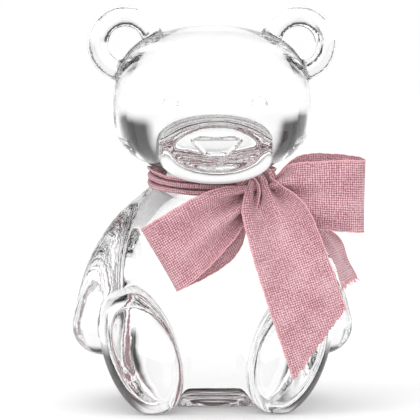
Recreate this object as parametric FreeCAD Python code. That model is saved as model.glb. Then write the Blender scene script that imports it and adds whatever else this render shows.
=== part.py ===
import FreeCAD, Part
import math
import os

from FreeCAD import Matrix, Rotation, Vector

# A pressed-crystal sitting bear with a ribbon tied in a bow round its neck.
# Millimetres. The bear faces -Y, +Z is up, and the origin is the middle of the flat base.

# Head: an egg with fuller shoulders than an ellipsoid, revolved and then narrowed front to back.
HEAD_CENTRE = Vector(0, 0, 91.0)
HEAD_HALF_WIDTH = 31.2
HEAD_HALF_DEPTH = 26.5
HEAD_ABOVE = 26.7
HEAD_BELOW = 19.5
HEAD_FULLNESS = 2.5
HEAD_SEAM_DEG = 90.0

# Torso: the same kind of egg, cut off flat at the base.
TORSO_CENTRE = Vector(0, 2.0, 25.0)
TORSO_HALF_WIDTH = 33.5
TORSO_HALF_DEPTH = 26.5
TORSO_ABOVE = 49.0
TORSO_BELOW = 38.0
TORSO_FULLNESS = 2.3
TORSO_SEAM_DEG = -90.0

# Muzzle: a flattened cushion across the front of the head, with a raised nose pad.
MUZZLE_CENTRE = Vector(0, -22.0, 80.8)
MUZZLE_HALF_WIDTH = 17.3
MUZZLE_HALF_DEPTH = 15.5
MUZZLE_HALF_HEIGHT = 10.3
MUZZLE_FULLNESS = 2.5
MUZZLE_SEAM_DEG = 0.0
NOSE_TOP_HALF_WIDTH = 6.3
NOSE_BOTTOM_HALF_WIDTH = 3.6
NOSE_TOP_Z = 84.7
NOSE_BOTTOM_Z = 79.6
NOSE_FRONT_Y = -38.1
NOSE_BACK_Y = -32.0
NOSE_CORNER_RADIUS = 1.2
NOSE_EDGE_RADIUS = 0.4

# Eyes: a fine arched groove each side of the forehead.
EYE_X = 13.6
EYE_Z = 94.3
EYE_ARCH_RADIUS = 2.2
EYE_GROOVE_RADIUS = 0.3

# Ears: thick round discs, dished at the front.
EAR_CENTRE = Vector(27.1, 1.0, 112.3)
EAR_RADIUS = 11.9
EAR_HALF_THICKNESS = 4.0
EAR_EDGE_RADIUS = 3.2
EAR_DISH_SPHERE_RADIUS = 16.0
EAR_DISH_DEPTH = 2.4

# Feet: oval discs, soles to the front, leaning outwards at the top.
FOOT_CENTRE = Vector(22.7, -24.0, 18.5)
FOOT_HALF_WIDTH = 11.3
FOOT_HALF_HEIGHT = 19.3
FOOT_HALF_DEPTH = 13.0
FOOT_EDGE_RADIUS = 6.0
FOOT_LEAN_DEG = 20.0

# Arms: the centre line of the right-hand side arm, each point with its radius. The other arm is its mirror image.
ARM_STATIONS = (
    (Vector(16.6, 1.5, 61.6), 4.8),
    (Vector(20.2, 1.0, 58.7), 6.0),
    (Vector(26.5, 0.0, 51.0), 7.2),
    (Vector(31.2, -1.5, 41.4), 8.2),
    (Vector(33.1, -3.0, 34.2), 8.8),
    (Vector(34.8, -4.5, 24.0), 9.3),
)
HAND_ROUNDING_DEG = (22, 42, 58, 70, 80)

# Ribbon.
RIBBON_WIDTH = 22.0
RIBBON_THICKNESS = 0.6

# Neck band: the ribbon bunched up into an oval hoop that slopes down towards the chest.
BAND_CENTRE = Vector(0, 0.5, 70.4)
BAND_HALF_WIDTH = 19.6
BAND_HALF_DEPTH = 19.3
BAND_HEIGHT = 4.6
BAND_THICKNESS = 0.7
BAND_SLOPE_DEG = 7.1

# Knot: a rounded lump of ribbon on the band, under the right side of the chin.
KNOT_CENTRE = Vector(14.05, -18.8, 66.8)
KNOT_SIZE = Vector(9.0, 7.0, 9.6)
KNOT_EDGE_RADIUS = 2.2
KNOT_TURN_DEG = 35.0

# Loops: a thin closed teardrop, pulled out sideways from the knot and extruded over the ribbon's width.
LOOP_MOUTH = 1.8
LOOP_NECK_HALF_WIDTH = 4.0
LOOP_SPREAD_LENGTH = 11.0

LEFT_LOOP_START = Vector(9.2, -22.9, 64.0)
LEFT_LOOP_TURN_DEG = 210.3
LEFT_LOOP_SWING_DEG = 11.0
LEFT_LOOP_LENGTH = 29.6
LEFT_LOOP_FRONT_BULGE = 4.2
LEFT_LOOP_BACK_BULGE = 1.9

RIGHT_LOOP_START = Vector(20.4, -19.8, 66.4)
RIGHT_LOOP_TURN_DEG = 2.4
RIGHT_LOOP_SWING_DEG = 5.0
RIGHT_LOOP_LENGTH = 26.2
RIGHT_LOOP_FRONT_BULGE = 5.0
RIGHT_LOOP_BACK_BULGE = 5.6

# Tails: flat strips through these stations, each a centre point with the vector to the strip's edge.
FRONT_TAIL_STATIONS = (
    (Vector(15.8, -24.6, 61.0), Vector(3.4, 0, 1.0)),
    (Vector(17.6, -29.6, 56.5), Vector(8.4, 0, 3.0)),
    (Vector(20.4, -33.4, 48.5), Vector(9.8, 0, 3.6)),
    (Vector(24.0, -37.9, 38.6), Vector(9.8, 0, 3.6)),
    (Vector(28.6, -39.2, 25.0), Vector(9.8, 0, 3.6)),
    (Vector(32.6, -39.2, 14.0), Vector(9.8, 0, 3.6)),
)
FRONT_TAIL_CUT_FROM = Vector(38.4, 0, 35.6)
FRONT_TAIL_CUT_TO = Vector(23.6, 0, 14.6)

BACK_TAIL_STATIONS = (
    (Vector(17.2, -16.6, 61.2), Vector(0.9, 2.2, 0.3)),
    (Vector(23.5, -12.8, 58.0), Vector(1.2, 3.0, 0.6)),
    (Vector(30.0, -9.6, 55.0), Vector(1.6, 4.0, 0.4)),
    (Vector(35.0, -10.0, 51.6), Vector(2.8, 8.4, 0.0)),
    (Vector(39.2, -11.6, 44.0), Vector(2.8, 9.8, 0.0)),
    (Vector(42.0, -12.6, 37.8), Vector(2.6, 10.2, 0.0)),
)

CURVE_STEPS = 8
CUT_REACH = 100.0


def fullness_point(half_x, half_z, fullness, angle):
    """A point of the curve |x/a|^n + |z/b|^n = 1, in the XZ plane."""
    x = half_x * abs(math.cos(angle)) ** (2.0 / fullness)
    z = half_z * abs(math.sin(angle)) ** (2.0 / fullness)
    return x, z


def smooth_curve(points, start, end):
    curve = Part.BSplineCurve()
    curve.interpolate(Points=points, InitialTangent=start, FinalTangent=end)
    return curve.toShape()


def squeezed(shape, x, y, z):
    matrix = Matrix()
    matrix.scale(x, y, z)
    return shape.transformGeometry(matrix)


def moved(shape, offset):
    copy = shape.copy()
    copy.translate(offset)
    return copy


def mirrored(shape):
    return shape.mirror(Vector(0, 0, 0), Vector(1, 0, 0))


def egg(centre, half_width, half_depth, above, below, fullness, seam_deg):
    """A profile revolved about Z and then widened, with its own height above and below the widest level.

    seam_deg turns the surface's seam away from the back of the egg.
    """
    points = []
    for i in range(CURVE_STEPS + 1):
        y, z = fullness_point(half_depth, above, fullness, math.pi / 2 * (1 - i / CURVE_STEPS))
        points.append(Vector(0, y, z))
    for i in range(1, CURVE_STEPS + 1):
        y, z = fullness_point(half_depth, below, fullness, math.pi / 2 * i / CURVE_STEPS)
        points.append(Vector(0, y, -z))
    points[0].y = 0
    points[-1].y = 0
    profile = smooth_curve(points, Vector(0, 1, 0), Vector(0, -1, 0))
    axis = Part.makeLine(points[-1], points[0])
    solid = Part.Face(Part.Wire([profile, axis])).revolve(Vector(0, 0, 0), Vector(0, 0, 1), 360)
    solid.rotate(Vector(0, 0, 0), Vector(0, 0, 1), seam_deg)
    return moved(squeezed(solid, half_width / half_depth, 1, 1), centre)


def edges_facing_y(shape):
    """The outline edges of a disc that faces along Y: those that lie in one plane of constant Y."""
    found = []
    for edge in shape.Edges:
        box = edge.BoundBox
        if box.YLength < 1e-4 and max(box.XLength, box.ZLength) > 1e-3:
            found.append(edge)
    return found


def ear():
    back = EAR_CENTRE + Vector(0, EAR_HALF_THICKNESS, 0)
    disc = Part.makeCylinder(EAR_RADIUS, 2 * EAR_HALF_THICKNESS, back, Vector(0, -1, 0))
    disc = disc.makeFillet(EAR_EDGE_RADIUS, edges_facing_y(disc))
    reach = EAR_HALF_THICKNESS + EAR_DISH_SPHERE_RADIUS - EAR_DISH_DEPTH
    dish = Part.makeSphere(EAR_DISH_SPHERE_RADIUS, EAR_CENTRE - Vector(0, reach, 0))
    return disc.cut(dish)


def foot():
    outline = Part.Ellipse(Vector(0, 0, FOOT_HALF_HEIGHT), Vector(FOOT_HALF_WIDTH, 0, 0), Vector(0, 0, 0))
    face = Part.Face(Part.Wire([outline.toShape()]))
    disc = face.extrude(Vector(0, 2 * FOOT_HALF_DEPTH, 0))
    disc = disc.makeFillet(FOOT_EDGE_RADIUS, edges_facing_y(disc))
    disc.translate(Vector(0, -FOOT_HALF_DEPTH, 0))
    disc.rotate(Vector(0, 0, 0), Vector(0, 1, 0), FOOT_LEAN_DEG)
    disc.translate(FOOT_CENTRE)
    return disc


def arm():
    """Round sections along the arm's centre line, drawn in to a rounded hand at the lower end."""
    stations = list(ARM_STATIONS)
    palm, palm_radius = stations[-1]
    pointing = (palm - stations[-2][0]).normalize()
    for angle in HAND_ROUNDING_DEG:
        reach = palm_radius * math.sin(math.radians(angle))
        stations.append((palm + pointing * reach, palm_radius * math.cos(math.radians(angle))))
    sections = []
    last = len(stations) - 1
    for i, (centre, radius) in enumerate(stations):
        along = stations[min(i + 1, last)][0] - stations[max(i - 1, 0)][0]
        sections.append(Part.Wire([Part.Circle(centre, along, radius).toShape()]))
    return Part.makeLoft(sections, True, False)


def nose():
    """A rounded pad, wider at the top, that stands a little proud of the muzzle."""
    corners = [
        Vector(-NOSE_TOP_HALF_WIDTH, NOSE_BACK_Y, NOSE_TOP_Z),
        Vector(NOSE_TOP_HALF_WIDTH, NOSE_BACK_Y, NOSE_TOP_Z),
        Vector(NOSE_BOTTOM_HALF_WIDTH, NOSE_BACK_Y, NOSE_BOTTOM_Z),
        Vector(-NOSE_BOTTOM_HALF_WIDTH, NOSE_BACK_Y, NOSE_BOTTOM_Z),
    ]
    pad = Part.Face(Part.makePolygon(corners + corners[:1])).extrude(Vector(0, NOSE_FRONT_Y - NOSE_BACK_Y, 0))
    upright = [edge for edge in pad.Edges if edge.BoundBox.YLength > 1.0]
    pad = pad.makeFillet(NOSE_CORNER_RADIUS, upright)
    front = [edge for edge in edges_facing_y(pad) if edge.BoundBox.YMax < NOSE_FRONT_Y + 0.01]
    return pad.makeFillet(NOSE_EDGE_RADIUS, front)


def eye_groove():
    """An arch cut round a centre that lies on the forehead, facing straight out of it."""
    level = (EYE_Z - HEAD_CENTRE.z) / HEAD_ABOVE
    ring = (1 - level ** HEAD_FULLNESS) ** (1 / HEAD_FULLNESS)
    reach = math.sqrt(ring ** 2 - (EYE_X / HEAD_HALF_WIDTH) ** 2)
    centre = Vector(EYE_X, HEAD_CENTRE.y - HEAD_HALF_DEPTH * reach, EYE_Z)
    outward = Vector(EYE_X / HEAD_HALF_WIDTH ** 2, -reach / HEAD_HALF_DEPTH, 0)
    outward.z = level ** (HEAD_FULLNESS - 1) * ring ** (2 - HEAD_FULLNESS) / HEAD_ABOVE
    outward.normalize()
    groove = Part.makeTorus(EYE_ARCH_RADIUS, EYE_GROOVE_RADIUS, Vector(0, 0, 0), Vector(0, 0, 1), 0, 360, 180)
    across = Vector(0, 0, 1).cross(outward).normalize()
    groove.Placement = FreeCAD.Placement(centre, Rotation(across, outward.cross(across), outward, "ZXY"))
    return groove


def crystal_bear():
    torso = egg(
        TORSO_CENTRE, TORSO_HALF_WIDTH, TORSO_HALF_DEPTH,
        TORSO_ABOVE, TORSO_BELOW, TORSO_FULLNESS, TORSO_SEAM_DEG,
    )
    head = egg(
        HEAD_CENTRE, HEAD_HALF_WIDTH, HEAD_HALF_DEPTH,
        HEAD_ABOVE, HEAD_BELOW, HEAD_FULLNESS, HEAD_SEAM_DEG,
    )
    muzzle = egg(
        MUZZLE_CENTRE, MUZZLE_HALF_WIDTH, MUZZLE_HALF_DEPTH,
        MUZZLE_HALF_HEIGHT, MUZZLE_HALF_HEIGHT, MUZZLE_FULLNESS, MUZZLE_SEAM_DEG,
    )
    lumps = [head, muzzle, nose()]
    for lump in (arm(), ear(), foot()):
        lumps += [lump, mirrored(lump)]
    body = torso.fuse(lumps)
    below = Part.makeBox(2 * CUT_REACH, 2 * CUT_REACH, CUT_REACH, Vector(-CUT_REACH, -CUT_REACH, -CUT_REACH))
    body = body.cut(below)
    groove = eye_groove()
    body = body.cut([groove, mirrored(groove)])
    return body.Solids[0]


def neck_band():
    outer = Part.makeCylinder(BAND_HALF_WIDTH, BAND_HEIGHT)
    inner = Part.makeCylinder(BAND_HALF_WIDTH - BAND_THICKNESS, BAND_HEIGHT)
    hoop = squeezed(outer.cut(inner), 1, BAND_HALF_DEPTH / BAND_HALF_WIDTH, 1)
    hoop.translate(Vector(0, 0, -BAND_HEIGHT / 2))
    hoop.rotate(Vector(0, 0, 0), Vector(1, 0, 0), BAND_SLOPE_DEG)
    hoop.translate(BAND_CENTRE)
    return hoop


def knot():
    lump = Part.makeBox(KNOT_SIZE.x, KNOT_SIZE.y, KNOT_SIZE.z, KNOT_SIZE * -0.5)
    lump = lump.makeFillet(KNOT_EDGE_RADIUS, lump.Edges)
    lump.rotate(Vector(0, 0, 0), Vector(0, 0, 1), KNOT_TURN_DEG)
    lump.translate(KNOT_CENTRE)
    return lump


def teardrop(length, front_bulge, back_bulge, inset):
    """A closed outline in plan, narrow at the knot and round at the far end, extruded over the width."""
    mouth = LOOP_MOUTH / 2 - inset
    outline = [
        Vector(inset, -mouth, 0),
        Vector(0.35 * length, inset - 0.9 * front_bulge, 0),
        Vector(0.72 * length, inset - front_bulge, 0),
        Vector(length - inset, 0, 0),
        Vector(0.72 * length, back_bulge - inset, 0),
        Vector(0.35 * length, 0.9 * back_bulge - inset, 0),
        Vector(inset, mouth, 0),
    ]
    curve = Part.BSplineCurve()
    curve.interpolate(outline)
    wire = Part.Wire([curve.toShape(), Part.makeLine(outline[-1], outline[0])])
    solid = Part.Face(wire).extrude(Vector(0, 0, RIBBON_WIDTH))
    return moved(solid, Vector(0, 0, -RIBBON_WIDTH / 2))


def loop(start, turn_deg, swing_deg, length, front_bulge, back_bulge):
    """A teardrop ring as wide as the ribbon, tapered to the knot, swung forward and turned into place."""
    ring = teardrop(length, front_bulge, back_bulge, 0)
    ring = ring.cut(teardrop(length, front_bulge, back_bulge, RIBBON_THICKNESS))
    half = RIBBON_WIDTH / 2
    side = [(0, LOOP_NECK_HALF_WIDTH), (LOOP_SPREAD_LENGTH, half), (length + 1, half)]
    corners = [Vector(x, -CUT_REACH, z) for x, z in side]
    corners += [Vector(x, -CUT_REACH, -z) for x, z in reversed(side)]
    taper = Part.Face(Part.makePolygon(corners + corners[:1])).extrude(Vector(0, 2 * CUT_REACH, 0))
    ring = ring.common(taper).Solids[0]
    ring.rotate(Vector(0, 0, 0), Vector(0, 0, 1), -swing_deg)
    ring.rotate(Vector(0, 0, 0), Vector(0, 1, 0), -turn_deg)
    ring.translate(start)
    return ring


def strip(stations):
    """A thin strip lofted through rectangles: a centre and the vector to its edge at each station."""
    sections = []
    last = len(stations) - 1
    for i, (centre, edge) in enumerate(stations):
        along = stations[min(i + 1, last)][0] - stations[max(i - 1, 0)][0]
        out = along.cross(edge).normalize() * (RIBBON_THICKNESS / 2)
        corners = [centre - edge - out, centre + edge - out, centre + edge + out, centre - edge + out]
        sections.append(Part.makePolygon(corners + corners[:1]))
    return Part.makeLoft(sections, True, False)


def front_tail():
    """The end is cut on a slant, so the strip's left corner is its lowest point."""
    across = FRONT_TAIL_CUT_TO - FRONT_TAIL_CUT_FROM
    start = FRONT_TAIL_CUT_FROM - across
    end = FRONT_TAIL_CUT_TO + across
    beyond = Vector(-across.z, 0, across.x)
    waste = [start, end, end + beyond, start + beyond]
    waste = [Vector(p.x, -CUT_REACH, p.z) for p in waste]
    cutter = Part.Face(Part.makePolygon(waste + waste[:1])).extrude(Vector(0, CUT_REACH, 0))
    return strip(FRONT_TAIL_STATIONS).cut(cutter).Solids[0]


def main():
    os.makedirs("parts", exist_ok=True)
    nodes = {
        "crystal_bear": crystal_bear(),
        "ribbon_neck_band": neck_band(),
        "ribbon_knot": knot(),
        "ribbon_left_loop": loop(
            LEFT_LOOP_START, LEFT_LOOP_TURN_DEG, LEFT_LOOP_SWING_DEG,
            LEFT_LOOP_LENGTH, LEFT_LOOP_FRONT_BULGE, LEFT_LOOP_BACK_BULGE,
        ),
        "ribbon_right_loop": loop(
            RIGHT_LOOP_START, RIGHT_LOOP_TURN_DEG, RIGHT_LOOP_SWING_DEG,
            RIGHT_LOOP_LENGTH, RIGHT_LOOP_FRONT_BULGE, RIGHT_LOOP_BACK_BULGE,
        ),
        "ribbon_front_tail": front_tail(),
        "ribbon_back_tail": strip(BACK_TAIL_STATIONS),
    }
    for name, shape in nodes.items():
        shape.exportStep("parts/" + name + ".step")


main()
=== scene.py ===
import math

import bmesh
import bpy
import numpy as np
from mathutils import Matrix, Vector


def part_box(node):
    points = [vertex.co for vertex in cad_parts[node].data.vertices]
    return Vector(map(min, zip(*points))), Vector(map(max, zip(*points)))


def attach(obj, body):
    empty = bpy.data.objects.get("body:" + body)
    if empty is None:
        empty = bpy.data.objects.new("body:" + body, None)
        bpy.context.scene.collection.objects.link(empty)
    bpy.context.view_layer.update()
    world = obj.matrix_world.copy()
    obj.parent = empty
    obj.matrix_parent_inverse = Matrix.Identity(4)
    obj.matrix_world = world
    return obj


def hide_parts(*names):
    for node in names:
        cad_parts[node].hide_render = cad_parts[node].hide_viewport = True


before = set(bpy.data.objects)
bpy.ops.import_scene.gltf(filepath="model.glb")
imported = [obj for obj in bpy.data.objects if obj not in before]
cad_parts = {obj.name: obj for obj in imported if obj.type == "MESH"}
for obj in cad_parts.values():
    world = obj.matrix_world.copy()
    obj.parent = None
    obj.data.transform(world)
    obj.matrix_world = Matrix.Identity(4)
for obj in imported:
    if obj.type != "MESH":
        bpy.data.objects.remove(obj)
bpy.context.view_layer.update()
scene = bpy.context.scene

# The glass and the ribbon are worked out in millimetres, and turned into metres as each mesh is made.
MM = 0.001
TINY = 1e-9
LEAST_LENGTH = 1e-12

# ------------------------------------------------------------------------------------------------ crystal
# The bear as one implicit surface: negative inside the glass, zero on its skin.

HEAD = {"centre": (0, 0, 91.0), "half": (31.2, 26.5), "above": 26.7, "below": 19.5, "fullness": 2.5}
TORSO = {"centre": (0, 2.0, 25.0), "half": (33.5, 26.5), "above": 49.0, "below": 38.0, "fullness": 2.3}
MUZZLE = {"centre": (0, -22.0, 80.8), "half": (17.3, 10.3), "half_depth": 15.5, "edge": 4.6, "crown": 0.3}
EAR = {
    "centre": (27.1, 1.0, 112.3), "radius": 11.9, "rim": 3.1, "bevel": 37.0, "web": 1.2, "web_forward": 1.4,
}
FOOT = {
    "centre": (22.7, -24.0, 18.5), "half": (11.3, 19.3), "half_depth": 13.0, "edge": 4.4, "crown": 0.5,
    "lean": 20.0,
}
# A guess: the CAD base is flat. Its outline is a rounded square and its roof a dome.
BASE_HOLLOW = {"half": (14.0, 13.0), "centre_y": -4.0, "depth": 7.0, "squareness": 4, "dome": 0.5}
NOSE = {
    "top": 84.7, "bottom": 79.6, "top_half": 6.3, "bottom_half": 3.6, "corner": 1.1, "raised": 0.7,
    "shoulder": 0.5, "groove": 0.6, "depth": 0.7,
}
EYE = {"x": 13.6, "z": 94.3, "arch_radius": 2.2, "groove": 0.45, "depth": 0.55}
# How widely each crease between two bodies is filled, or each edge softened.
CREASE = {
    "neck": 3.0, "arm": 1.8, "foot": 1.6, "ear": 0.9, "muzzle": 0.9, "base": 0.8,
    "ear_rim": 0.6, "ear_web": 0.5,
}
# Each station of an arm: x, y, z and radius.
ARM = np.array([
    (16.6, 1.5, 61.6, 4.8),
    (20.2, 1.0, 58.7, 6.0),
    (26.5, 0.0, 51.0, 7.2),
    (31.2, -1.5, 41.4, 8.2),
    (33.1, -3.0, 34.2, 8.8),
    (34.8, -4.5, 24.0, 9.3),
])
ARM_BALLS = 14
# The domed face of a disc stops falling away this many half widths out.
CROWN_REACH = 1.5
LEAST_SLOPE = 1e-3
LONGEST_STEP = 0.6
VOXEL = 0.8
MARGIN = 3.0
# The mesh is split finer round the eyes and the nose. Each pass has its reach.
EYE_FRONT = 0.87
EYE_ARCH_MIDDLE = 0.6
NOSE_SPOTS = [(x, -37.0, 82.1) for x in (-4, 0, 4)]
FINER_FACE = (5.5, 4.6)
FINER_EYES = 3.8


def join(a, b, width):
    """The union of two bodies, with the crease between them filled over this width."""
    near = np.maximum(width - np.abs(a - b), 0) / width
    return np.minimum(a, b) - near * near * width * 0.25


def carve(a, b, width):
    """What is inside a and outside b, with a softened edge."""
    return -join(-a, b, width)


def spline(knots, values, at):
    """A natural cubic through values at knots, for any number of columns."""
    knots, values = np.asarray(knots, float), np.asarray(values, float)
    n = len(knots)
    gap = np.diff(knots)
    slope = np.diff(values, axis=0) / gap[:, None]
    matrix = np.eye(n)
    right = np.zeros_like(values)
    for i in range(1, n - 1):
        matrix[i, i - 1: i + 2] = gap[i - 1], 2 * (gap[i - 1] + gap[i]), gap[i]
        right[i] = 6 * (slope[i] - slope[i - 1])
    bend = np.linalg.solve(matrix, right)
    i = np.clip(np.searchsorted(knots, at, side="right") - 1, 0, n - 2)
    g = gap[i][:, None]
    ahead = (knots[i + 1] - at)[:, None]
    behind = (at - knots[i])[:, None]
    return (
        (bend[i] * ahead ** 3 + bend[i + 1] * behind ** 3) / (6 * g)
        + (values[i] / g - bend[i] * g / 6) * ahead
        + (values[i + 1] / g - bend[i + 1] * g / 6) * behind
    )


def unit(v):
    return v / (np.linalg.norm(v, axis=-1, keepdims=True) + LEAST_LENGTH)


def spaced(points):
    """Distance along a row of points."""
    return np.r_[0, np.cumsum(np.linalg.norm(np.diff(points, axis=0), axis=1))]


def along_spline(stations, count):
    """Rows evenly spaced along a smooth path. A row holds every column of a station."""
    knots = spaced(stations[:, :3])
    return spline(knots, stations, np.linspace(0, knots[-1], count))


ARM_CHAIN = along_spline(ARM, ARM_BALLS)


def egg(p, shape):
    """An egg of its own height above and below the widest level, nearly a true distance close to its skin."""
    n = shape["fullness"]
    x, y, z = (p[:, i] - shape["centre"][i] for i in range(3))
    a, d = shape["half"]
    height = np.where(z > 0, shape["above"], shape["below"])
    ring = np.sqrt((x / a) ** 2 + (y / d) ** 2) + TINY
    level = np.abs(z) / height
    g = (ring ** n + level ** n) ** (1 / n) + TINY
    slope_ring = g ** (1 - n) * ring ** (n - 1)
    slope_up = g ** (1 - n) * level ** (n - 1) / height
    flat = np.sqrt((x / a ** 2) ** 2 + (y / d ** 2) ** 2) / ring
    return (g - 1) / np.maximum(np.sqrt((slope_ring * flat) ** 2 + slope_up ** 2), LEAST_SLOPE)


def disc(x, y, z, half_x, half_z, half_depth, edge, crown):
    """An oval disc that faces along Y, with a rounded edge and a slightly domed face."""
    inner_x, inner_z = half_x - edge, half_z - edge
    ring = np.sqrt((x / inner_x) ** 2 + (z / inner_z) ** 2) + TINY
    slope = np.sqrt((x / inner_x ** 2) ** 2 + (z / inner_z ** 2) ** 2) / ring + TINY
    out = (ring - 1) / slope
    deep = np.abs(y) - (half_depth - edge) + crown * np.minimum(ring, CROWN_REACH) ** 2
    outside = np.hypot(np.maximum(out, 0), np.maximum(deep, 0))
    return outside + np.minimum(np.maximum(out, deep), 0) - edge


def round_cone(p, start, end):
    """A ball that rolls from one station of an arm to the next, growing evenly."""
    along = end[:3] - start[:3]
    span = along @ along
    t = np.clip(((p - start[:3]) @ along) / span, 0, 1)
    radius = start[3] + t * (end[3] - start[3])
    return np.linalg.norm(p - start[:3] - t[:, None] * along, axis=1) - radius


def arm(p):
    return np.minimum.reduce([round_cone(p, m, n) for m, n in zip(ARM_CHAIN[:-1], ARM_CHAIN[1:])])


def ear(p):
    """A thick rim, flat in front and bevelled behind, with a thinner web across it."""
    x, y, z = (p[:, i] - EAR["centre"][i] for i in range(3))
    outer = np.hypot(x, z) - EAR["radius"]
    out = np.abs(outer + EAR["rim"])
    square = np.maximum(out, np.abs(y)) - EAR["rim"]
    slant = math.radians(EAR["bevel"])
    bevel = (out - EAR["rim"]) * math.sin(slant) + y * math.cos(slant)
    rim = -join(-square, -bevel, CREASE["ear_rim"])
    web = np.maximum(outer + EAR["rim"], np.abs(y + EAR["web_forward"]) - EAR["web"])
    return join(rim, web, CREASE["ear_web"])


def foot(p):
    x, y, z = (p[:, i] - FOOT["centre"][i] for i in range(3))
    lean = math.radians(FOOT["lean"])
    across = x * math.cos(lean) - z * math.sin(lean)
    upright = x * math.sin(lean) + z * math.cos(lean)
    return disc(across, y, upright, *FOOT["half"], FOOT["half_depth"], FOOT["edge"], FOOT["crown"])


def muzzle(p):
    x, y, z = (p[:, i] - MUZZLE["centre"][i] for i in range(3))
    return disc(x, y, z, *MUZZLE["half"], MUZZLE["half_depth"], MUZZLE["edge"], MUZZLE["crown"])


def nose_outline(p):
    """Distance in the XZ plane from the rounded trapezoid of the nose pad, negative inside."""
    middle = (NOSE["top"] + NOSE["bottom"]) / 2
    half = (NOSE["top"] - NOSE["bottom"]) / 2 - NOSE["corner"]
    x, z = np.abs(p[:, 0]), p[:, 2] - middle
    spread = (NOSE["top_half"] - NOSE["bottom_half"]) / (2 * half)
    side = (NOSE["top_half"] + NOSE["bottom_half"]) / 2 - NOSE["corner"] + spread * z
    sideways = (x - side) / math.hypot(1, spread)
    upright = np.abs(z) - half
    outside = np.hypot(np.maximum(sideways, 0), np.maximum(upright, 0))
    return outside + np.minimum(np.maximum(sideways, upright), 0) - NOSE["corner"]


def step(x):
    """Runs smoothly from 0 to 1 as x does."""
    x = np.clip(x, 0, 1)
    return x * x * (3 - 2 * x)


def eye_groove(p):
    """Depth of the fine arch over each eye, on the front of the head."""
    x, z = np.abs(p[:, 0]) - EYE["x"], p[:, 2] - EYE["z"]
    off_arch = np.abs(np.hypot(x, z) - EYE["arch_radius"])
    lower = np.hypot(np.abs(x) - EYE["arch_radius"], z)
    off_arch = np.where(z > 0, off_arch, lower)
    return EYE["depth"] * step(1 - off_arch / EYE["groove"]) * (p[:, 1] < 0)


def nose_pad(p):
    """How far the nose stands out of the muzzle's front, with a groove round it."""
    rim = nose_outline(p)
    raised = NOSE["raised"] * step(0.5 - rim / NOSE["shoulder"])
    groove = NOSE["depth"] * step(1 - np.abs(rim) / NOSE["groove"])
    return (raised - groove) * (p[:, 1] < MUZZLE["centre"][1])


def base(p):
    """Height above the underside, which is flat on the ground with a hollow in the middle."""
    half_x, half_y = BASE_HOLLOW["half"]
    n = BASE_HOLLOW["squareness"]
    across, deep = p[:, 0] / half_x, (p[:, 1] - BASE_HOLLOW["centre_y"]) / half_y
    under = BASE_HOLLOW["depth"] * np.clip(1 - across ** n - deep ** n, 0, 1) ** BASE_HOLLOW["dome"]
    return p[:, 2] - under


def glass(p):
    """The whole bear. One arm, foot and ear are worked out, and mirrored."""
    mirror = p.copy()
    mirror[:, 0] = np.abs(p[:, 0])
    d = join(egg(p, TORSO), egg(p, HEAD) + eye_groove(p), CREASE["neck"])
    d = join(d, arm(mirror), CREASE["arm"])
    d = join(d, foot(mirror), CREASE["foot"])
    d = join(d, ear(mirror), CREASE["ear"])
    d = join(d, muzzle(p) - nose_pad(p), CREASE["muzzle"])
    return carve(d, base(p), CREASE["base"])


def outward_direction(p, reach=0.02):
    """The way out of the glass at each point."""
    out = np.empty_like(p)
    for i in range(3):
        offset = np.zeros(3)
        offset[i] = reach
        out[:, i] = glass(p + offset) - glass(p - offset)
    return unit(out)


def onto_glass(p, rounds=4):
    """Moves each point to the nearest part of the skin, in short steps."""
    for _ in range(rounds):
        p = p - np.clip(glass(p), -LONGEST_STEP, LONGEST_STEP)[:, None] * outward_direction(p)
    return p


def surface_net(low, high, size):
    """Points and four-sided faces where the glass skin crosses a grid."""
    counts = [int(math.ceil((h - l) / size)) + 1 for l, h in zip(low, high)]
    axes = [l + size * np.arange(c) for l, c in zip(low, counts)]
    grid = np.stack(np.meshgrid(*axes, indexing="ij"), axis=-1)
    value = np.concatenate([glass(slab.reshape(-1, 3)) for slab in grid]).reshape(counts)
    cells = tuple(c - 1 for c in counts)
    total = np.zeros(cells + (3,))
    hits = np.zeros(cells)
    crossings = []
    for axis in range(3):
        first = [slice(None)] * 3
        second = [slice(None)] * 3
        first[axis], second[axis] = slice(0, -1), slice(1, None)
        a, b = value[tuple(first)], value[tuple(second)]
        crossed = (a < 0) != (b < 0)
        place = np.argwhere(crossed)
        share = a[crossed] / (a[crossed] - b[crossed])
        point = grid[tuple(place.T)].copy()
        point[:, axis] += share * size
        others = [i for i in range(3) if i != axis]
        kept = np.ones(len(place), bool)
        for i in others:
            kept &= (place[:, i] > 0) & (place[:, i] < counts[i] - 1)
        place, point = place[kept], point[kept]
        ring = []
        for shift in ((0, 0), (1, 0), (1, 1), (0, 1)):
            cell = place.copy()
            cell[:, others[0]] -= shift[0]
            cell[:, others[1]] -= shift[1]
            np.add.at(total, tuple(cell.T), point)
            np.add.at(hits, tuple(cell.T), 1)
            ring.append(cell)
        outward = (a[crossed] < 0)[kept]
        if axis == 1:
            outward = ~outward
        crossings.append((ring, outward))
    used = hits > 0
    index = np.full(cells, -1)
    index[used] = np.arange(used.sum())
    points = total[used] / hits[used][:, None]
    faces = []
    for ring, outward in crossings:
        quad = np.stack([index[tuple(cell.T)] for cell in ring], axis=1)
        faces.append(np.where(outward[:, None], quad, quad[:, ::-1]))
    return points, np.concatenate(faces)


def refine(mesh, near, reach):
    """Splits the faces around these points once. The new corners are not yet on the glass."""
    bm = bmesh.new()
    bm.from_mesh(mesh)
    centres = [Vector(c) * MM for c in near]
    chosen = set()
    for face in bm.faces:
        middle = face.calc_center_median()
        if any((middle - c).length < reach * MM for c in centres):
            chosen.update(face.edges)
    bmesh.ops.subdivide_edges(bm, edges=list(chosen), cuts=1, use_grid_fill=True)
    bmesh.ops.triangulate(bm, faces=[f for f in bm.faces if len(f.verts) > 4])
    bm.to_mesh(mesh)
    bm.free()


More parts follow.
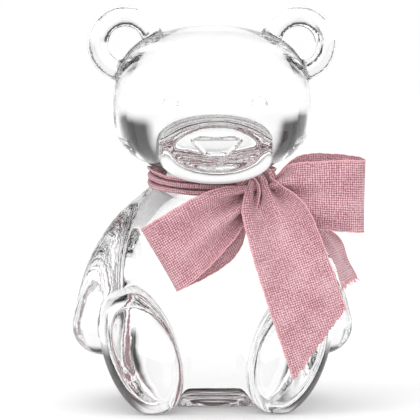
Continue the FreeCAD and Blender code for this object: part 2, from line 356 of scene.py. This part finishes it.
def crystal_bear():
    """The glass mesh, with every corner put on the skin once the faces are split."""
    node_low, node_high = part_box("crystal_bear")
    low = [v / MM - MARGIN for v in node_low]
    high = [v / MM + MARGIN for v in node_high]
    points, faces = surface_net(low, high, VOXEL)
    mesh = bpy.data.meshes.new("crystal_bear_glass")
    mesh.from_pydata((points * MM).tolist(), [], faces.tolist())
    head_front = HEAD["half"][1] * EYE_FRONT
    eyes = [(side * EYE["x"], -head_front, EYE["z"] + EYE_ARCH_MIDDLE) for side in (-1, 1)]
    for reach in FINER_FACE:
        refine(mesh, eyes + NOSE_SPOTS, reach)
    refine(mesh, eyes, FINER_EYES)
    flat = np.empty(len(mesh.vertices) * 3)
    mesh.vertices.foreach_get("co", flat)
    skin = onto_glass(flat.reshape(-1, 3) / MM)
    mesh.vertices.foreach_set("co", (skin * MM).ravel())
    mesh.shade_smooth()
    mesh.update()
    piece = bpy.data.objects.new("crystal_bear_glass", mesh)
    scene.collection.objects.link(piece)
    return piece


# ------------------------------------------------------------------------------------------------ materials

# Assumed: the kind of glass is not known.
GLASS_IOR = 1.55
# The base colour wanders between these two with the slow waves.
GLASS_COOL, GLASS_CLEAR = (0.985, 0.99, 0.992, 1), (0.995, 0.995, 0.995, 1)
# How much of the waviness is fine.
FINE_WAVES = 0.04


def new_material(name):
    material = bpy.data.materials.new(name)
    material.use_nodes = True
    tree = material.node_tree
    return material, tree, tree.nodes["Principled BSDF"]


def add(tree, kind, settings=None, inputs=None):
    """A node with its settings and inputs. An input is a value, or a socket to link from."""
    node = tree.nodes.new(kind)
    for key, value in (settings or {}).items():
        setattr(node, key, value)
    for key, value in (inputs or {}).items():
        if isinstance(value, bpy.types.NodeSocket):
            tree.links.new(value, node.inputs[key])
        else:
            node.inputs[key].default_value = value
    return node


def maths(tree, operation, *values):
    """The result of one sum. Each value is a number, or a socket to link from."""
    node = add(tree, "ShaderNodeMath", {"operation": operation}, dict(enumerate(values)))
    return node.outputs[0]


def crystal_material():
    """Clear fire-polished glass, with the faint waviness that a mould leaves."""
    material, tree, shader = new_material("crystal_clear")
    place = add(tree, "ShaderNodeTexCoord").outputs["Object"]
    wave = add(tree, "ShaderNodeTexNoise", {}, {
        "Vector": place, "Scale": 55.0, "Detail": 1.5, "Distortion": 0.4})
    fine = add(tree, "ShaderNodeTexNoise", {}, {"Vector": place, "Scale": 420.0, "Detail": 2.0})
    fine_height = maths(tree, "MULTIPLY", fine.outputs["Fac"], FINE_WAVES)
    height = maths(tree, "ADD", wave.outputs["Fac"], fine_height)
    bump = add(tree, "ShaderNodeBump", {}, {"Height": height, "Strength": 0.5, "Distance": 0.0007})
    tint = add(tree, "ShaderNodeMapRange", {}, {"Value": wave.outputs["Fac"], "To Min": 0.0, "To Max": 1.0})
    colour = add(tree, "ShaderNodeMix", {"data_type": "RGBA"}, {"Factor": tint.outputs[0]})
    colour.inputs["A"].default_value = GLASS_COOL
    colour.inputs["B"].default_value = GLASS_CLEAR
    tree.links.new(colour.outputs["Result"], shader.inputs["Base Color"])
    tree.links.new(bump.outputs["Normal"], shader.inputs["Normal"])
    shader.inputs["Transmission Weight"].default_value = 1.0
    shader.inputs["IOR"].default_value = GLASS_IOR
    shader.inputs["Roughness"].default_value = 0.0
    return material


def finish_piece(piece, material):
    """Every piece rides on the one body, because nothing here moves."""
    piece.data.materials.clear()
    piece.data.materials.append(material)
    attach(piece, "root")


# ------------------------------------------------------------------------------------------------ ribbon
# One woven ribbon, made as stretches that meet inside the knot. Each stretch is a strip of constant width
# along its cross-section: it narrows only by folding into pleats.

RIBBON_WIDTH = 22.0
CELL = 0.5
CLEAR_OF_GLASS = 0.35
THREAD_PITCH = 0.72
SELVEDGE_RADIUS = 0.2
# Soft waves along the strip, taller at its edges than in its middle. Steep pleats leave none.
RIPPLE_HEIGHT, RIPPLE_LENGTH = 0.5, 14.0
RIPPLE_SKEW, RIPPLE_MIDDLE, RIPPLE_EDGES = 2.2, 0.35, 2.6
NO_RIPPLE_PLEAT = 60
# The edges wander slightly, in two rhythms, and only the outermost threads do.
EDGE_WANDER = 0.07
WANDER_SLOW, WANDER_FAST = 2.3, 5.9
WANDER_PHASE, SLOW_SKEW, FAST_SKEW, WANDER_HEM = 5, 2, 3, 6
# At its far end a thread narrows to TIP_SHARE of its radius, at a slope of 1 in TAPER_RADII.
TIP_SHARE, TAPER_RADII = 0.35, 4
THREAD_HINT = np.array([0.31, 0.52, 0.79])
# Loose ends past a cut: how far they start inside it, and how their length and bend vary.
LOOSE_ROOT, LOOSE_LENGTH, LOOSE_BEND = 0.6, (0.35, 1.3), 0.6
LOOSE_RADIUS, LOOSE_SIDES, LOOSE_POINTS, LOOSE_ROWS = 0.13, 5, 6, 3
rng = np.random.default_rng(11)


def strip_grid(stations, pleats, phase=0.0, closed=False):
    """Corners of the strip, row by row along it.

    A station is x, y, z, the direction across the strip (3), the steepness of its pleats in degrees,
    and its bow across the width in degrees.
    """
    stations = np.array(stations, float)
    if closed:
        stations = np.vstack([stations, stations[:1]])
    length = spaced(stations[:, :3])[-1]
    rows = int(length / CELL) + 1
    if closed:
        wrapped = np.vstack([stations[-4:-1], stations, stations[1:4]])
        knots = spaced(wrapped[:, :3])
        inner = np.linspace(knots[3], knots[3 + len(stations) - 1], rows)
        path = spline(knots, wrapped, inner)
    else:
        path = along_spline(stations, rows)
    centre, across = path[:, :3], unit(path[:, 3:6])
    along = unit(np.gradient(centre, axis=0))
    if closed:
        seam = unit(centre[1] - centre[-2])
        along[0] = along[-1] = seam
    out = unit(np.cross(along, across))
    columns = int(RIBBON_WIDTH / CELL) + 1
    t = np.linspace(-0.5, 0.5, columns)
    pleat, bow = (np.radians(path[:, i])[:, None] for i in (6, 7))
    slope = pleat * np.cos(2 * math.pi * pleats * t + phase) + 2 * bow * t
    reach = RIBBON_WIDTH * np.diff(t)[0]
    sideways = np.cumsum(np.cos(slope), axis=1) * reach
    lift = np.cumsum(np.sin(slope), axis=1) * reach
    far = spaced(centre)[:, None]
    turns = 2 * math.pi * round(far[-1, 0] / RIPPLE_LENGTH) / far[-1, 0]
    flat = np.clip(1 - pleat / math.radians(NO_RIPPLE_PLEAT), 0, 1)
    ripple = np.sin(turns * far + phase + RIPPLE_SKEW * t)
    lift += RIPPLE_HEIGHT * flat * ripple * (RIPPLE_MIDDLE + RIPPLE_EDGES * t ** 2)
    slow = np.sin(WANDER_SLOW * turns * far + WANDER_PHASE * phase + SLOW_SKEW * t)
    ragged = slow + np.sin(WANDER_FAST * turns * far + FAST_SKEW * t)
    sideways += EDGE_WANDER * ragged * np.sign(t) * np.abs(2 * t) ** WANDER_HEM
    sideways -= sideways.mean(axis=1, keepdims=True)
    lift -= lift.mean(axis=1, keepdims=True)
    grid = centre[:, None] + sideways[..., None] * across[:, None] + lift[..., None] * out[:, None]
    return grid, spaced(centre)


def off_the_glass(grid, gap=CLEAR_OF_GLASS):
    """Pushes the cloth's points out of the glass, towards this gap. The gap reached is not measured."""
    flat = grid.reshape(-1, 3).copy()
    for _ in range(3):
        inside = np.maximum(gap - glass(flat), 0)
        moving = inside > 0
        if not moving.any():
            break
        flat[moving] += inside[moving, None] * unit(outward_direction(flat[moving]))
    return flat.reshape(grid.shape)


def mesh_object(name, points, faces, uvs):
    mesh = bpy.data.meshes.new(name)
    mesh.from_pydata((np.asarray(points) * MM).tolist(), [], faces)
    layer = mesh.uv_layers.new(name="weave")
    corners = np.empty(len(mesh.loops), int)
    mesh.loops.foreach_get("vertex_index", corners)
    layer.data.foreach_set("uv", np.asarray(uvs)[corners].ravel())
    mesh.shade_smooth()
    piece = bpy.data.objects.new(name, mesh)
    scene.collection.objects.link(piece)
    return piece


def grid_faces(rows, columns, keep=None):
    """Four-sided faces of a grid of points, all of them or those to keep."""
    i, j = np.meshgrid(np.arange(rows - 1), np.arange(columns - 1), indexing="ij")
    if keep is not None:
        i, j = i[keep], j[keep]
    first = (i * columns + j).ravel()
    return np.stack([first, first + columns, first + columns + 1, first + 1], axis=1)


def tubes(name, lines, radius, sides=6):
    """Round threads along these lines of points, in one mesh."""
    points, faces, uvs, base = [], [], [], 0
    for line in lines:
        line = np.asarray(line)
        along = unit(np.gradient(line, axis=0))
        side = unit(np.cross(along, THREAD_HINT))
        up = np.cross(along, side)
        far = spaced(line)
        thin = radius * np.minimum(1, TIP_SHARE + (far[-1] - far) / (TAPER_RADII * radius))[:, None]
        for k in range(sides):
            angle = 2 * math.pi * k / sides
            points.append(line + thin * (math.cos(angle) * side + math.sin(angle) * up))
            uvs.append(np.stack([far, np.full(len(line), k / sides)], axis=1))
        n = len(line)
        for k in range(sides):
            m = (k + 1) % sides
            i = np.arange(n - 1)
            near, next_side = base + k * n + i, base + m * n + i
            faces.append(np.stack([near, next_side, next_side + 1, near + 1], axis=1))
        base += sides * n
    faces = np.concatenate(faces).tolist()
    return mesh_object(name, np.concatenate(points), faces, np.concatenate(uvs))


def fringe(grid, rows_kept, name, length):
    """Loose thread ends past a cut: each runs on from the cloth, with a small bend of its own."""
    lines = []
    columns = grid.shape[1]
    for j in np.arange(0, columns, THREAD_PITCH / CELL):
        j0 = min(int(j), columns - 1)
        row = int(rows_kept[min(j0, columns - 2)]) - 1
        start = grid[row, j0]
        along = unit(grid[row, j0] - grid[row - LOOSE_ROWS, j0])
        side = unit(grid[row, min(j0 + 1, columns - 1)] - grid[row, max(j0 - 1, 0)])
        out = np.cross(along, side)
        reach = length * rng.uniform(*LOOSE_LENGTH)
        bend = rng.uniform(-LOOSE_BEND, LOOSE_BEND, 2)
        t = np.linspace(0, 1, LOOSE_POINTS)[:, None]
        lines.append(start - along * LOOSE_ROOT + along * (reach + LOOSE_ROOT) * t
                     + (side * bend[0] + out * bend[1]) * reach * t ** 2)
    return tubes(name, lines, LOOSE_RADIUS, LOOSE_SIDES)


def ribbon(name, stations, pleats, phase=0.0, closed=False, cut=None, loose=1.1):
    """A stretch of ribbon with its selvedges.

    cut(v) is how far its end is trimmed at each point across, and loose is the usual length of the
    thread ends past the cut.
    """
    grid, far = strip_grid(stations, pleats, phase, closed)
    grid = off_the_glass(grid)
    rows, columns = grid.shape[:2]
    across = np.linspace(0, RIBBON_WIDTH, columns)
    keep = None
    kept = np.full(columns - 1, rows - 1)
    if cut is not None:
        middle = (across[:-1] + across[1:]) / 2
        kept = np.clip(((far[-1] - cut(middle)) / CELL).astype(int), 2, rows - 1)
        keep = np.arange(rows - 1)[:, None] < kept[None, :]
    faces = grid_faces(rows, columns, keep)
    v, u = np.meshgrid(across, far)
    uvs = np.stack([u.ravel(), v.ravel()], axis=1)
    used, faces = np.unique(faces, return_inverse=True)
    faces = faces.reshape(-1, 4)
    piece = mesh_object(name, grid.reshape(-1, 3)[used], faces.tolist(), uvs[used])
    edges = [grid[:kept[0] + 1, 0], grid[:kept[-1] + 1, -1]]
    selvedge = tubes(name + "_selvedge", edges, SELVEDGE_RADIUS)
    extras = [selvedge]
    if cut is not None:
        extras.append(fringe(grid, kept, name + "_fringe", loose))
    finish_piece(piece, weave)
    for extra in extras:
        finish_piece(extra, yarn)
    return piece, extras, float(far[-1])


# How round a thread's section is, and how it swings above and below its level as it crosses others.
THREAD_ROUNDNESS = 0.6
THREAD_SWING, THREAD_LEVEL = 0.42, 0.58
# Shade that varies in small slubs and in larger patches: a gain and an offset for each.
SLUB_GAIN, SLUB_OFFSET = 0.7, -0.33
PATCH_GAIN, PATCH_OFFSET = 0.3, -0.15
# Sideways drift of the threads, in millimetres.
WEAVE_DRIFT = (0.55, 0.55, 0)
# Pinks from the deepest gap to the top of a thread, each at a tone: painted shade in the gaps, rising to a
# painted highlight on the thread tops.
WEAVE_GAP_SHADE, WEAVE_TOP_HIGHLIGHT = (0.18, (0.16, 0.045, 0.062, 1)), (0.98, (0.86, 0.58, 0.62, 1))
WEAVE_MIDDLE = ((0.45, (0.40, 0.155, 0.19, 1)), (0.72, (0.58, 0.28, 0.325, 1)))
# The yarn's colour runs from painted shade in the grooves of its twist to a painted highlight on its crests.
YARN_GROOVE_SHADE, YARN_CREST_HIGHLIGHT = (0.72, 0.27, 0.32, 1), (0.98, 0.62, 0.64, 1)
YARN_TWIST = 9.0
CLOTH_SHEEN = 0.35


def weave_material():
    """Open plain weave in pink: warp and weft pass over and under, with slubs and deeper gaps. Its colour
    carries painted shade in the gaps and a painted highlight on the thread tops.
    """
    material, tree, shader = new_material("ribbon_weave")
    uv = add(tree, "ShaderNodeUVMap", {"uv_map": "weave"}).outputs["UV"]
    plane = {"noise_dimensions": "2D"}
    wobble = add(tree, "ShaderNodeTexNoise", plane, {"Vector": uv, "Scale": 0.35, "Detail": 2.0})
    shift = add(tree, "ShaderNodeVectorMath", {"operation": "MULTIPLY_ADD"}, {
        0: wobble.outputs["Color"], 1: WEAVE_DRIFT, 2: uv})
    split = add(tree, "ShaderNodeSeparateXYZ", {}, {"Vector": shift.outputs[0]})
    turn = math.pi / THREAD_PITCH
    wave_u = maths(tree, "COSINE", maths(tree, "MULTIPLY", split.outputs["X"], turn))
    wave_v = maths(tree, "COSINE", maths(tree, "MULTIPLY", split.outputs["Y"], turn))
    warp = maths(tree, "POWER", maths(tree, "ABSOLUTE", wave_v), THREAD_ROUNDNESS)
    weft = maths(tree, "POWER", maths(tree, "ABSOLUTE", wave_u), THREAD_ROUNDNESS)
    over_warp = maths(tree, "MULTIPLY", wave_u, maths(tree, "SIGN", wave_v))
    over_weft = maths(tree, "MULTIPLY", wave_v, maths(tree, "SIGN", wave_u))
    warp_swing = maths(tree, "MULTIPLY_ADD", over_warp, THREAD_SWING, THREAD_LEVEL)
    warp_high = maths(tree, "MULTIPLY", warp, warp_swing)
    weft_swing = maths(tree, "MULTIPLY_ADD", over_weft, -THREAD_SWING, THREAD_LEVEL)
    weft_high = maths(tree, "MULTIPLY", weft, weft_swing)
    height = maths(tree, "MAXIMUM", warp_high, weft_high)
    slub = add(tree, "ShaderNodeTexNoise", plane, {"Vector": uv, "Scale": 1.3, "Detail": 3.0})
    patch = add(tree, "ShaderNodeTexNoise", plane, {"Vector": uv, "Scale": 0.12, "Detail": 1.0})
    slub_tone = maths(tree, "MULTIPLY_ADD", slub.outputs["Fac"], SLUB_GAIN, SLUB_OFFSET)
    tone = maths(tree, "ADD", height, slub_tone)
    patch_tone = maths(tree, "MULTIPLY_ADD", patch.outputs["Fac"], PATCH_GAIN, PATCH_OFFSET)
    tone = maths(tree, "ADD", tone, patch_tone)
    # The colour follows the thread height, as painted shade in the gaps and a painted highlight on the tops,
    # with the slub and patch tones added.
    ramp = add(tree, "ShaderNodeValToRGB", {}, {"Fac": tone})
    stops = ramp.color_ramp.elements
    stops[0].position, stops[0].color = WEAVE_GAP_SHADE
    stops[1].position, stops[1].color = WEAVE_TOP_HIGHLIGHT
    for position, colour in WEAVE_MIDDLE:
        stop = stops.new(position)
        stop.color = colour
    bump = add(tree, "ShaderNodeBump", {}, {"Height": height, "Strength": 0.9, "Distance": 0.00025})
    gap = add(tree, "ShaderNodeMapRange", {"interpolation_type": "SMOOTHSTEP"}, {
        "Value": maths(tree, "MAXIMUM", warp, weft), "From Min": 0.30, "From Max": 0.62, "To Min": 0.25})
    tree.links.new(ramp.outputs["Color"], shader.inputs["Base Color"])
    tree.links.new(bump.outputs["Normal"], shader.inputs["Normal"])
    tree.links.new(gap.outputs[0], shader.inputs["Alpha"])
    shader.inputs["Roughness"].default_value = 0.75
    shader.inputs["Sheen Weight"].default_value = CLOTH_SHEEN
    shader.inputs["Specular IOR Level"].default_value = 0.3
    return material


def yarn_material():
    """Twisted pink yarn, for selvedges and loose ends. Its colour is painted shade in the grooves of the
    twist and a painted highlight on the crests.
    """
    material, tree, shader = new_material("ribbon_yarn")
    uv = add(tree, "ShaderNodeUVMap", {"uv_map": "weave"}).outputs["UV"]
    split = add(tree, "ShaderNodeSeparateXYZ", {}, {"Vector": uv})
    twist = maths(tree, "ADD", maths(tree, "MULTIPLY", split.outputs["X"], YARN_TWIST),
                  maths(tree, "MULTIPLY", split.outputs["Y"], 2 * math.pi))
    ply = maths(tree, "MULTIPLY_ADD", maths(tree, "SINE", twist), 0.5, 0.5)
    ramp = add(tree, "ShaderNodeValToRGB", {}, {"Fac": ply})
    ramp.color_ramp.elements[0].color = YARN_GROOVE_SHADE
    ramp.color_ramp.elements[1].color = YARN_CREST_HIGHLIGHT
    bump = add(tree, "ShaderNodeBump", {}, {"Height": ply, "Strength": 0.5, "Distance": 0.0001})
    tree.links.new(ramp.outputs["Color"], shader.inputs["Base Color"])
    tree.links.new(bump.outputs["Normal"], shader.inputs["Normal"])
    shader.inputs["Roughness"].default_value = 0.8
    shader.inputs["Sheen Weight"].default_value = CLOTH_SHEEN
    return material


weave, yarn = weave_material(), yarn_material()

# The neck band is a tilted ring. Its pleats are squeezed unevenly on the way round.
BAND_CENTRE = (0.0, 0.5, 70.4)
BAND_HALF = (18.6, 18.4)
BAND_SLOPE = math.radians(7.1)
BAND_STATIONS, BAND_START = 16, 0.6
BAND_SQUEEZE = 114
hoop = []
for k in range(BAND_STATIONS):
    angle = 2 * math.pi * k / BAND_STATIONS + BAND_START
    x, y = BAND_HALF[0] * math.cos(angle), BAND_HALF[1] * math.sin(angle)
    squeeze = BAND_SQUEEZE + 5 * math.sin(3 * angle) + 4 * math.sin(5 * angle + 1)
    hoop.append((x, BAND_CENTRE[1] + y, BAND_CENTRE[2] + y * math.tan(BAND_SLOPE), 0, 0, 1, squeeze, 0))

# The knot is the stretch that wraps over the others. It is open underneath.
KNOT = np.array([14.05, -18.8, 66.8])
KNOT_AXIS = np.array([0.819, 0.574, 0.0])
KNOT_OUT = np.array([0.574, -0.819, 0.0])
KNOT_THICK, KNOT_TALL = 4.4, 5.6
KNOT_TILT = (0, 0, 0.3)
KNOT_SQUEEZE = 92
knot_wrap = []
for degrees in range(-60, 241, 30):
    angle = math.radians(degrees)
    spot = KNOT + KNOT_THICK * math.cos(angle) * KNOT_OUT + np.array([0, 0, KNOT_TALL * math.sin(angle)])
    knot_wrap.append((*spot, *(KNOT_AXIS + KNOT_TILT), KNOT_SQUEEZE + 8 * math.sin(2 * angle), 0))

# The stations of the loops and tails, as strip_grid reads them. The left loop's width leans with the loop,
# the right loop's is upright, the front tail's lies across the bear, and the back tail's runs front to back.
LEFT_LOOP = [
    (14.0, -20.0, 66.6, 0.30, 0, -0.95, 112, 0),
    (9.6, -23.6, 64.6, 0.34, 0, -0.94, 100, 0),
    (5.0, -27.2, 62.3, 0.37, 0, -0.93, 74, 0),
    (-2.9, -30.6, 57.2, 0.42, 0, -0.91, 42, 2),
    (-10.5, -31.3, 51.6, 0.48, 0, -0.88, 16, 4),
    (-15.6, -30.2, 48.1, 0.508, 0, -0.861, 0, 3),
    (-17.3, -28.2, 46.9, 0.515, 0, -0.857, 0, 0),
    (-15.4, -26.2, 47.6, 0.515, 0, -0.857, 0, -3),
    (-9.0, -25.2, 50.4, 0.50, 0, -0.866, 6, -5),
    (-1.6, -24.8, 54.6, 0.47, 0, -0.88, 20, -4),
    (5.6, -23.8, 59.2, 0.42, 0, -0.91, 62, 0),
    (10.0, -21.6, 63.2, 0.36, 0, -0.93, 100, 0),
    (13.6, -19.2, 66.0, 0.30, 0, -0.95, 112, 0),
]
RIGHT_LOOP = [
    (14.2, -19.6, 67.0, 0, 0, -1, 112, 0),
    (18.4, -22.0, 67.2, 0.05, 0, -1, 98, 0),
    (22.6, -24.6, 67.0, 0.06, 0, -1, 58, 0),
    (28.0, -26.2, 66.6, 0.03, 0, -1, 36, 4),
    (36.0, -26.6, 66.3, 0, 0, -1, 18, 4),
    (43.2, -25.2, 66.0, -0.02, 0, -1, 0, 2),
    (46.2, -21.8, 65.8, -0.03, 0, -1, 0, 0),
    (43.8, -17.6, 66.6, -0.02, 0, -1, 0, -3),
    (37.0, -15.0, 67.4, 0, 0, -1, 6, -6),
    (29.0, -14.8, 67.6, 0.02, 0, -1, 20, -5),
    (23.0, -15.8, 67.4, 0.04, 0, -1, 58, 0),
    (18.4, -17.4, 67.2, 0.04, 0, -1, 98, 0),
    (14.4, -19.0, 67.0, 0, 0, -1, 112, 0),
]
FRONT_TAIL = [
    (14.6, -21.6, 70.2, 0.96, 0, 0.20, 108, 0),
    (15.2, -24.4, 67.6, 0.96, 0, 0.22, 88, 0),
    (16.6, -27.2, 64.0, 0.955, 0, 0.26, 56, 6),
    (19.0, -30.2, 58.6, 0.945, 0, 0.32, 30, 12),
    (21.0, -32.8, 52.6, 0.94, 0, 0.345, 15, 16),
    (23.8, -36.8, 44.0, 0.94, 0, 0.345, 4, 14),
    (26.4, -39.4, 36.0, 0.94, 0, 0.345, 4, 8),
    (29.8, -40.2, 26.0, 0.94, 0, 0.345, 3, 6),
    (34.0, -40.4, 14.0, 0.94, 0, 0.345, 0, 6),
]
BACK_TAIL = [
    (14.6, -18.0, 65.0, 0.3, 0.9, 0.2, 112, 0),
    (19.0, -15.2, 60.8, 0.3, 0.9, 0.1, 104, 0),
    (25.0, -12.0, 57.6, 0.28, 0.94, 0.1, 84, 0),
    (31.0, -10.0, 54.6, 0.28, 0.95, 0.05, 52, 0),
    (35.6, -10.4, 51.2, 0.30, 0.95, 0, 24, 6),
    (39.4, -11.6, 44.6, 0.28, 0.96, 0, 8, 8),
    (42.2, -12.6, 37.6, 0.26, 0.965, 0, 4, 8),
]


def notches(v, spacing, depth):
    return depth * np.abs((v / spacing) % 1 - 0.5)


def slanted_cut(v):
    """The front tail's end: longest at one edge and cut back evenly to the other, with small notches."""
    return SLANT_START + SLANT_RISE * v / RIBBON_WIDTH + notches(v, 2.6, 0.9)


def square_cut(v):
    """The back tail's end: straight across, with small notches."""
    return SQUARE_START + notches(v, 2.2, 0.5)


SLANT_START, SLANT_RISE = 1.0, 15.0
SQUARE_START = 0.4
CUT_SAMPLES = 200


def make_ribbon():
    """Every stretch of the ribbon. A row is its node, stations, pleats, options, hold and support."""
    parts = [
        ("ribbon_neck_band", hoop, 2.5, {"closed": True}, "gathered", ["crystal_bear_glass"]),
        ("ribbon_knot", knot_wrap, 2.5, {"phase": 0.8}, "gathered", ["ribbon_neck_band_cloth"]),
        ("ribbon_left_loop", LEFT_LOOP, 2.0, {"phase": 0.5}, "gathered", ["crystal_bear_glass"]),
        ("ribbon_right_loop", RIGHT_LOOP, 2.0, {"phase": 1.2}, "gathered", ["ribbon_knot_cloth"]),
        ("ribbon_front_tail", FRONT_TAIL, 2.0, {"phase": 0.9, "cut": slanted_cut}, "hung",
         ["crystal_bear_glass"]),
        ("ribbon_back_tail", BACK_TAIL, 2.0, {"phase": 0.2, "cut": square_cut, "loose": 1.8}, "hung",
         ["crystal_bear_glass"]),
    ]
    for node, stations, pleats, options, held, rests_on in parts:
        piece, extras, length = ribbon(node + "_cloth", stations, pleats, **options)
        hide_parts(node)
        trimmed = 0.0
        if "cut" in options:
            v = np.linspace(0, RIBBON_WIDTH, CUT_SAMPLES)
            trimmed = float(np.mean(options["cut"](v)))


bear = crystal_bear()
finish_piece(bear, crystal_material())
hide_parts("crystal_bear")
make_ribbon()

# ------------------------------------------------------------------------------------------------ studio

VIEW_AZIMUTH, VIEW_ELEVATION = -2.2, 5.0
VIEW_DISTANCE = 0.9
VIEW_WIDTH = 0.1323
VIEW_CENTRE = Vector((-0.0006, 0.0, 0.0598))
SENSOR_MM = 36.0
NEAR_CLIP = 0.01

# The dark flags, as pairs of angles in degrees over which each one fades in or out. Sideways angles run
# from the front or the back, whichever is nearer. One flag stands at each diagonal, and a wider one
# reaches from EDGE_FROM nearly to the side, at EDGE_TO. These rise from the horizon over FLAG_RISE. The
# last hangs overhead, from ROOF_FROM to ROOF_TO.
DIAGONAL_FROM, DIAGONAL_DEPTH = (28, 38), 0.95
EDGE_FROM, EDGE_TO = (42, 50), (84, 88)
FLAG_RISE = (-2, 5)
ROOF_FROM, ROOF_TO = (26, 44), (76, 84)
FLAG_DEPTH = 0.985
# The brightness of the studio as the matt surfaces see it.
FILL = 1.14
FLOOR_SIZE, FLOOR_ALBEDO = 4.0, 0.96
FLOOR_ROUGHNESS = 0.9
KEY_PLACE, KEY_TARGET = (-0.5, -0.5, 0.7), (0, 0, 0.06)
KEY_SIZE, KEY_POWER = 0.5, 2.0


def place_camera():
    a, e = math.radians(VIEW_AZIMUTH), math.radians(VIEW_ELEVATION)
    back = Vector((math.sin(a) * math.cos(e), -math.cos(a) * math.cos(e), math.sin(e)))
    data = bpy.data.cameras.new("camera")
    data.sensor_width = SENSOR_MM
    data.lens = SENSOR_MM * VIEW_DISTANCE / VIEW_WIDTH
    data.clip_start = NEAR_CLIP
    camera = bpy.data.objects.new("camera", data)
    camera.location = VIEW_CENTRE + back * VIEW_DISTANCE
    camera.rotation_euler = back.to_track_quat("Z", "Y").to_euler()
    scene.collection.objects.link(camera)
    scene.camera = camera


def band(tree, value, start, end):
    """Runs from 0 to 1 as the value goes from one angle, in degrees, to the other."""
    return add(tree, "ShaderNodeMapRange", {"interpolation_type": "SMOOTHSTEP"}, {
        "Value": value, "From Min": math.radians(start), "From Max": math.radians(end)}).outputs[0]


def side_flags(tree, x, y):
    """How dark the flags make the studio towards (x, y), from 0 for white to 1 for black.

    It is white before and behind, and in a narrow strip at each side, and dark in between.
    """
    azimuth = maths(tree, "ABSOLUTE", maths(tree, "ARCTAN2", x, y))
    quarter = maths(tree, "PINGPONG", azimuth, math.pi / 4)
    half = maths(tree, "PINGPONG", azimuth, math.pi / 2)
    edge = maths(tree, "SUBTRACT", band(tree, half, *EDGE_FROM), band(tree, half, *EDGE_TO))
    diagonal = maths(tree, "MULTIPLY", band(tree, quarter, *DIAGONAL_FROM), DIAGONAL_DEPTH)
    return maths(tree, "MAXIMUM", edge, diagonal)


def studio_world():
    """White all round, as the lens and the matt surfaces see it.

    Reflected and transmitted rays see dark flags instead, and these draw the dark edges of the glass.
    """
    world = bpy.data.worlds.new("studio")
    scene.world = world
    world.use_nodes = True
    tree = world.node_tree
    background = tree.nodes["Background"]
    direction = add(tree, "ShaderNodeTexCoord").outputs["Generated"]
    split = add(tree, "ShaderNodeSeparateXYZ", {}, {"Vector": direction})
    x, y, z = (split.outputs[k] for k in "XYZ")
    elevation = maths(tree, "ARCSINE", z)
    roof = maths(tree, "SUBTRACT", band(tree, elevation, *ROOF_FROM), band(tree, elevation, *ROOF_TO))
    side = maths(tree, "MULTIPLY", side_flags(tree, x, y), band(tree, elevation, *FLAG_RISE))
    dark = maths(tree, "MAXIMUM", side, roof)
    seen = maths(tree, "SUBTRACT", 1.0, maths(tree, "MULTIPLY", dark, FLAG_DEPTH))
    path = add(tree, "ShaderNodeLightPath")
    lens = maths(tree, "MAXIMUM", seen, path.outputs["Is Camera Ray"])
    strength = maths(tree, "MAXIMUM", lens, maths(tree, "MULTIPLY", path.outputs["Is Diffuse Ray"], FILL))
    tree.links.new(strength, background.inputs["Strength"])
    background.inputs["Color"].default_value = (1, 1, 1, 1)


def studio_floor():
    """A plain white floor, matt and without gloss."""
    bpy.ops.mesh.primitive_plane_add(size=FLOOR_SIZE, location=(0, 0, 0))
    floor = bpy.context.object
    floor.name = "studio_floor"
    material, tree, shader = new_material("floor_white")
    shader.inputs["Base Color"].default_value = (FLOOR_ALBEDO, FLOOR_ALBEDO, FLOOR_ALBEDO, 1)
    shader.inputs["Roughness"].default_value = FLOOR_ROUGHNESS
    shader.inputs["Specular IOR Level"].default_value = 0.0
    floor.data.materials.append(material)


def soft_light(name, place, target, size, power):
    """A square area light that does not show in the glass."""
    data = bpy.data.lights.new(name, "AREA")
    data.size = size
    data.energy = power
    lamp = bpy.data.objects.new(name, data)
    lamp.location = place
    aim = Vector(target) - Vector(place)
    lamp.rotation_euler = aim.to_track_quat("-Z", "Y").to_euler()
    lamp.visible_glossy = False
    lamp.visible_transmission = False
    scene.collection.objects.link(lamp)


place_camera()
studio_world()
studio_floor()
soft_light("key_light", KEY_PLACE, KEY_TARGET, KEY_SIZE, KEY_POWER)
# The glass casts no shadow, so that the floor stays bright under it. The ribbon does cast one.
bear.visible_shadow = False

scene.view_settings.view_transform = "Standard"
scene.cycles.max_bounces = 32
scene.cycles.transmission_bounces = 28
scene.cycles.glossy_bounces = 16
scene.cycles.transparent_max_bounces = 24
